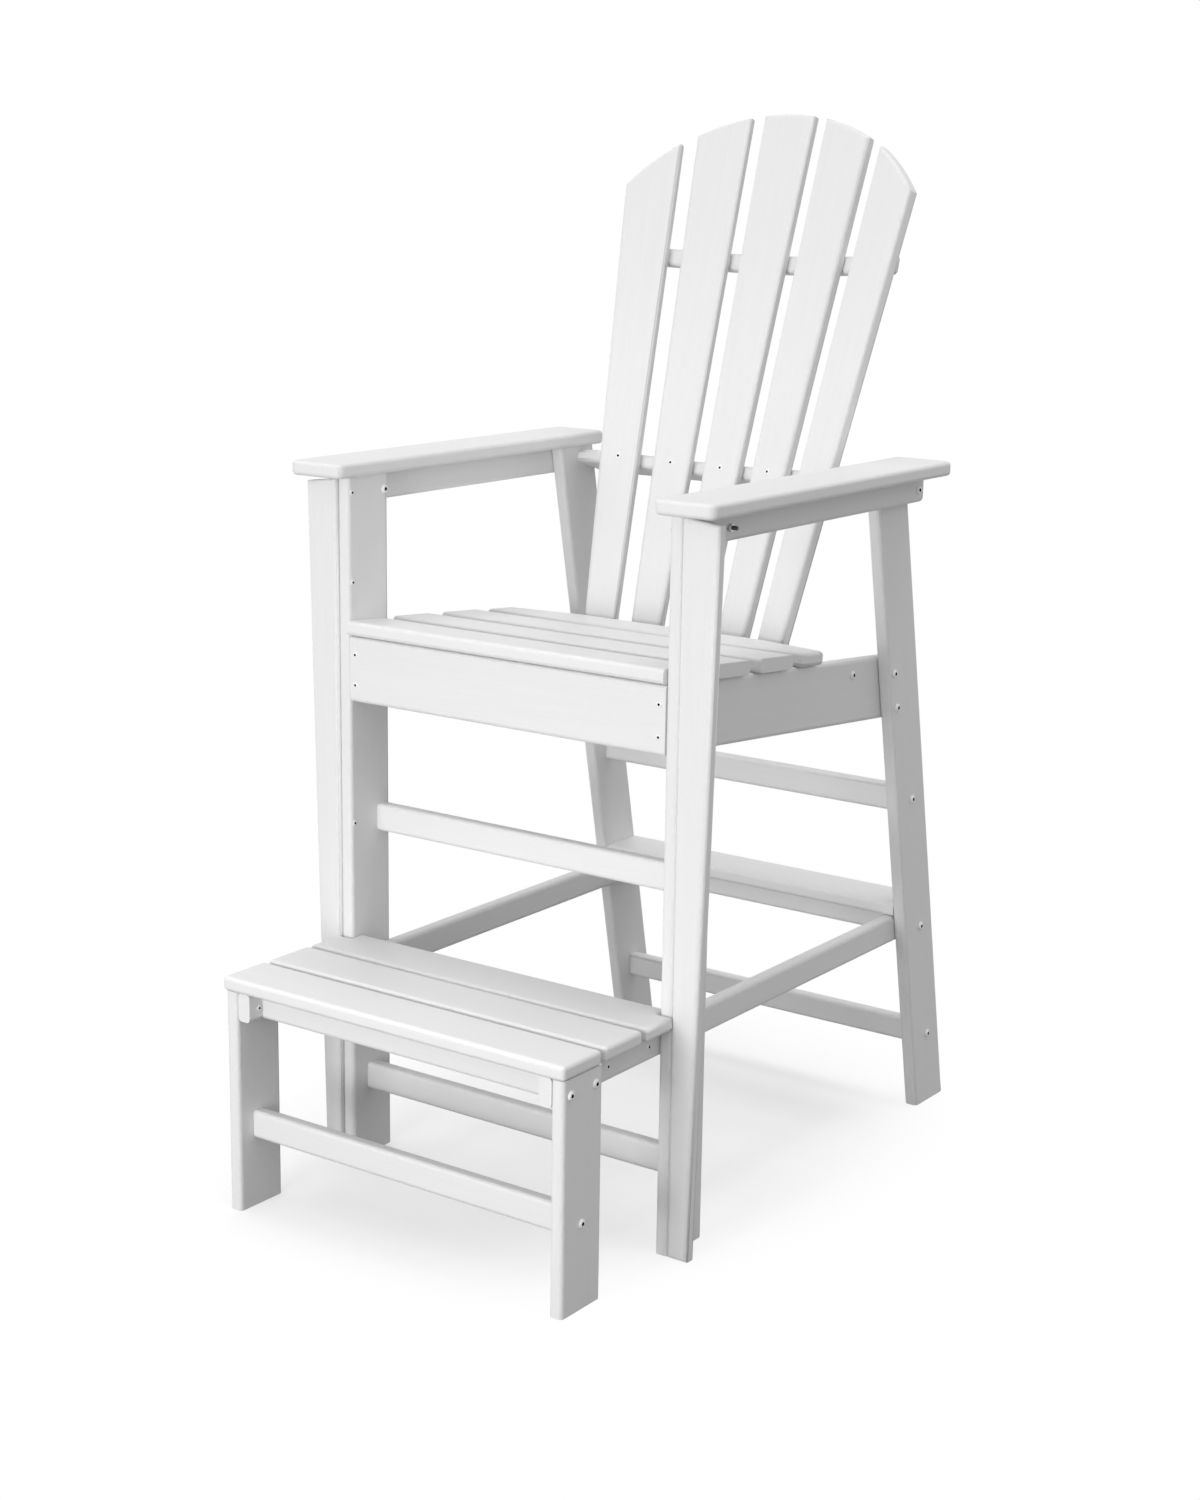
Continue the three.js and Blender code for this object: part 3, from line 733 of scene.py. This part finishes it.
def sink_socket(shape, corner_radius, depth):
    """Fills the open rim as far as a hexagon, and pushes the hexagon down into the head. Its walls and floor get the
    painted shade.
    """
    rim = [edge for edge in shape.edges if edge.is_boundary]
    top = Matrix.Translation((0, 0, rim[0].verts[0].co.z))
    hexagon = set(bmesh.ops.create_circle(shape, segments=hexagon_sides, radius=corner_radius, matrix=top)["verts"])
    ring = [edge for edge in shape.edges if set(edge.verts) <= hexagon]
    fill_ring(shape, rim, ring)
    pushed = bmesh.ops.extrude_edge_only(shape, edges=ring)["geom"]
    bottom = [item for item in pushed if isinstance(item, bmesh.types.BMVert)]
    bmesh.ops.translate(shape, vec=(0, 0, -depth), verts=bottom)
    walls = [item for item in pushed if isinstance(item, bmesh.types.BMFace)]
    bottom_edges = [edge for edge in shape.edges if edge.is_boundary]
    cap = bmesh.ops.contextual_create(shape, geom=bottom_edges)["faces"]
    for face in walls + cap:
        face.material_index = socket_slot
    bmesh.ops.recalc_face_normals(shape, faces=shape.faces)


def shade_round(shape):
    """Shades the shape smooth where it is round, and crisp where it turns by more than crisp_turn degrees."""
    for face in shape.faces:
        face.smooth = True
    for edge in shape.edges:
        edge.smooth = not turns_by(edge, crisp_turn, any_turn)


# %% [markdown]
# ## A bolt, in one line
# The side of a bolt is one row of points, from the rim in its head to the tip of its shank, and one spin closes it.
# A real thread is a spiral. At this size only its ridges can be seen, so the shank has a zigzag of closed rings.
# The socket ends above the underside of the head: a board has no hole under a screw, and would show its white face.

# %% Shape a bolt
socket_radius_share = 0.46
socket_depth_share = 0.8
root_share = 0.84


def head_profile(radius, height):
    """The open rim, the low dome, and the underside at height 0."""
    return [
        (0.49 * radius, 0.97 * height),
        (0.55 * radius, height),
        (0.68 * radius, 0.94 * height),
        (0.81 * radius, 0.78 * height),
        (0.93 * radius, 0.48 * height),
        (radius, 0.12 * height),
        (radius, 0),
    ]


def plain_shank(radius, reach):
    """A smooth shank that ends flat."""
    return [(radius, 0), (radius, -reach), (0, -reach)]


def threaded_shank(radius, reach, threaded, pitch):
    """A shank whose last stretch is cut with ridges a pitch apart."""
    start = threaded - reach
    ridges = []
    for turn in range(round(threaded / pitch)):
        height = start - turn * pitch
        ridges += [(radius, height), (root_share * radius, height - pitch / 2)]
    return [(radius, 0), *ridges, (root_share * radius, -reach), (0, -reach)]


def fastener(head_radius, head_height, shank):
    """A head with its socket, on a shank. All that lies below the head has the finish of the shank."""
    shape = spun(head_profile(head_radius, head_height) + shank)
    sink_socket(shape, socket_radius_share * head_radius, socket_depth_share * head_height)
    shade_round(shape)
    for face in shape.faces:
        if face.calc_center_median().z < -weld:
            face.material_index = shank_slot
    return shape


print("socket", socket_radius_share, "of a head's radius and", socket_depth_share, "of its height")

# %% [markdown]
# ## Driving the bolts
# Each of these bolts has a solid of its own, whose box says where its head sits and how long it is. So the new bolt is
# laid along the same line, instead of being placed by eye. Heads look outwards, but the front bolt of each arm goes in
# from the inner side, and its threaded end comes out through the rail.

# %% Drive the bolts
bolt_names = (
    "arm_rear",
    "seat_upper",
    "seat_lower",
    "crossmember",
    "upper_stretcher",
    "long_rail",
    "lower_stretcher",
)
bolt_head_radius = 6.5 * millimetre
bolt_head_height = 3 * millimetre
bolt_radius = 3 * millimetre
thread_length = 16 * millimetre
thread_pitch = 1.25 * millimetre
head_finishes = [white_paint, painted_socket_shade, plain_steel]


def stand(shape, seat, direction):
    """Turns a fastener from +Z to face a direction, with the underside of its head at a point."""
    turn = direction.to_track_quat("Z", "Y").to_matrix().to_4x4()
    bmesh.ops.transform(shape, matrix=Matrix.Translation(seat) @ turn, verts=shape.verts)


def drive_bolt(node, way, shank_of):
    """Makes a bolt that fills a solid bolt's length, its head facing along X in the way given."""
    lowest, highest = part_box(node)
    reach = highest.x - lowest.x - bolt_head_height
    seat = (lowest + highest) / 2
    seat.x = (highest.x if way > 0 else lowest.x) - way * bolt_head_height
    shape = fastener(bolt_head_radius, bolt_head_height, shank_of(bolt_radius, reach))
    stand(shape, seat, Vector((way, 0, 0)))
    place_piece("driven_" + node, shape, head_finishes, "white_bolt", node)


def long_thread(radius, reach):
    """The shank of a front arm bolt."""
    return threaded_shank(radius, reach, thread_length, thread_pitch)


for hand, way in hands.items():
    for name in bolt_names:
        drive_bolt(name + "_bolt_" + hand, way, plain_shank)
    drive_bolt("arm_front_bolt_" + hand, -way, long_thread)
print("bolts", len(hands) * (len(bolt_names) + 1))

# %% [markdown]
# ## Nuts on the arm bolts
# Each front arm bolt comes out through the arm's rail, and a small hexagon nut of zinc-plated steel holds it.
# The ring between a hexagon and a circle is filled, and solidified to the nut's height. Its outer edges turn by 60
# degrees at the corners and by 90 at the rims, and those are then eased.

# %% Screw on the nuts
nut_ease = 0.5 * millimetre
nut_ease_steps = 2
nut_hole_radius = 1.1 * bolt_radius
outer_share = 0.9
nut_turns = (50, 100)


def from_axis(edge):
    """How far the nearer end of an edge is from Z."""
    return min(vertex.co.xy.length for vertex in edge.verts)


def nut_shape(corner_radius, hole_radius, height):
    """A hexagon nut that stands on the ground plane, with its hole along Z."""
    shape = bmesh.new()
    bmesh.ops.create_circle(shape, segments=hexagon_sides, radius=corner_radius)
    outline = shape.edges[:]
    bmesh.ops.create_circle(shape, segments=spin_steps, radius=hole_radius)
    fill_ring(shape, outline, [edge for edge in shape.edges if edge not in outline])
    bmesh.ops.recalc_face_normals(shape, faces=shape.faces)
    bmesh.ops.solidify(shape, geom=shape.faces[:], thickness=height)
    bmesh.ops.recalc_face_normals(shape, faces=shape.faces)
    crisp = [edge for edge in shape.edges if turns_by(edge, *nut_turns)]
    outer = [edge for edge in crisp if from_axis(edge) > outer_share * corner_radius]
    bevel(shape, outer, nut_ease, nut_ease_steps)
    lowest = min(vertex.co.z for vertex in shape.verts)
    bmesh.ops.translate(shape, vec=(0, 0, -lowest), verts=shape.verts)
    return shape


for hand, way in hands.items():
    node = "arm_front_nut_" + hand
    lowest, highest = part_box(node)
    seat = (lowest + highest) / 2
    seat.x = lowest.x if way > 0 else highest.x
    size = highest - lowest
    shape = nut_shape(max(size.y, size.z) / 2, nut_hole_radius, size.x)
    stand(shape, seat, Vector((way, 0, 0)))
    place_piece("screwed_" + node, shape, [zinc_steel], "steel_nut", node)
    print(node, tuple(round(value / millimetre, 1) for value in size))

# %% [markdown]
# ## Screws, and the bolts of the step's legs
# These have no solids of their own, so each is placed from the box of the board that carries it: which face it sits
# on, and how far along that face, as a tape measure would say it. Written this way, none can float.

# %% Drive a screw into a face of a board
screw_head_radius = 4.6 * millimetre
screw_head_height = 1.4 * millimetre
screw_radius = 2 * millimetre
screw_reach = 7 * millimetre
leg_bolt_reach = 24 * millimetre
sunk = 0.1 * millimetre
to_front = Vector((0, -1, 0))


def drive_screw(name, seat, direction):
    """A small screw with its head on a face, sunk a little so that no gap shows under it."""
    shape = fastener(screw_head_radius, screw_head_height, plain_shank(screw_radius, screw_reach))
    stand(shape, seat - direction * sunk, direction)
    place_piece(name, shape, head_finishes, "white_bolt")


def on_side(node, way, from_front, height):
    """A point on the face of a board that looks along X, from its front edge and the floor, in millimetres."""
    lowest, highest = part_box(node)
    face = highest.x if way > 0 else lowest.x
    return Vector((face, lowest.y + from_front * millimetre, height * millimetre))


def on_front(node, from_end, height, way):
    """A point on the front face of a board that runs across, from its end and the floor, in millimetres."""
    lowest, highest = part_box(node)
    end = highest.x if way > 0 else lowest.x
    return Vector((end - way * from_end * millimetre, lowest.y, height * millimetre))


print("screw head", round(2 * screw_head_radius / millimetre, 1), "mm across")

# %% [markdown]
# ## Screws of the legs, the apron and the long rails
# The photograph shows where each screw sits, in millimetres from the floor and from its board's end. These measures
# are kept in small tables, a name for each screw, and a loop over left and right drives every pair. The step's legs
# are bolted instead, with heads like those above.

# %% Screws of the legs, the apron and the long rails
front_leg_screws = {"top": 1012, "arm": 882.5, "middle": 525}
front_leg_setback = 7.5
apron_screws = {"upper": 779, "lower": 734.4}
apron_setback = 10.2
long_rail_screws = {"front": 124.5, "rear": 220}
long_rail_height = 310
inner_rail_screw = (19.4, 307)
step_leg_bolts = {"front": (15.4, 308), "rear": (70.3, 308), "low": (42.2, 122)}

for hand, way in hands.items():
    inwards = Vector((-way, 0, 0))
    for name, height in front_leg_screws.items():
        seat = on_side("leg_side_board_" + hand, -way, front_leg_setback, height)
        drive_screw(f"leg_screw_{name}_{hand}", seat, inwards)
    for name, height in apron_screws.items():
        seat = on_front("seat_apron", apron_setback, height, way)
        drive_screw(f"apron_screw_{name}_{hand}", seat, to_front)
    for name, setback in long_rail_screws.items():
        seat = on_side("long_side_rail_" + hand, way, setback, long_rail_height)
        drive_screw(f"long_rail_screw_{name}_{hand}", seat, -inwards)
    seat = on_side("long_side_rail_" + hand, -way, *inner_rail_screw)
    drive_screw(f"long_rail_screw_inner_{hand}", seat, inwards)
    for name, (setback, height) in step_leg_bolts.items():
        shape = fastener(bolt_head_radius, bolt_head_height, plain_shank(bolt_radius, leg_bolt_reach))
        stand(shape, on_side("step_leg_" + hand, way, setback, height), -inwards)
        place_piece(f"step_leg_bolt_{name}_{hand}", shape, head_finishes, "white_bolt")
screw_tables = (front_leg_screws, apron_screws, long_rail_screws, step_leg_bolts)
print("screws and step bolts on each hand", sum(len(table) for table in screw_tables) + 1)

# %% [markdown]
# ## Screws through the back
# Each slat of the back is screwed from in front to the middle rail. The upper rail shows no screws from in front.
# The slats lean and turn, so a screw's place can't be read from a box. A copy of the slat is cut by a plane through the
# middle of the rail instead. The cut shows how far the slat's broad face reaches there, and the screw sits halfway
# across.

# %% Screw the slats to the middle rail
flush = 0.1 * millimetre


def broad_face_normal(node, way):
    """The direction of a board's largest face that looks to the front or the rear, or up."""
    shape = merged_copy(node)
    face = max(shape.faces, key=lambda face: face.calc_area() * (face.normal.dot(way) > 0))
    normal = face.normal.copy()
    shape.free()
    return normal


def middle_of(node):
    """The middle of a solid's box."""
    lowest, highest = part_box(node)
    return (lowest + highest) / 2


def halfway_across(node, normal, plane_point, plane_normal):
    """Halfway across the face of a board that looks along normal, where a plane cuts it."""
    shape = merged_copy(node)
    everything = shape.verts[:] + shape.edges[:] + shape.faces[:]
    cut = bmesh.ops.bisect_plane(shape, geom=everything, plane_co=plane_point, plane_no=plane_normal)["geom_cut"]
    corners = [item.co.copy() for item in cut if isinstance(item, bmesh.types.BMVert)]
    shape.free()
    proud = max(corner.dot(normal) for corner in corners)
    outer = [corner for corner in corners if corner.dot(normal) > proud - flush]
    return sum(outer, Vector()) / len(outer)


up_the_back = broad_face_normal("back_middle_rail", upright)
for slat in back_slats:
    normal = broad_face_normal(slat, to_front)
    seat = halfway_across(slat, normal, middle_of("back_middle_rail"), up_the_back)
    drive_screw(f"{slat}_screw", seat, normal)
    print(slat, "screw at", tuple(round(value, 3) for value in seat))
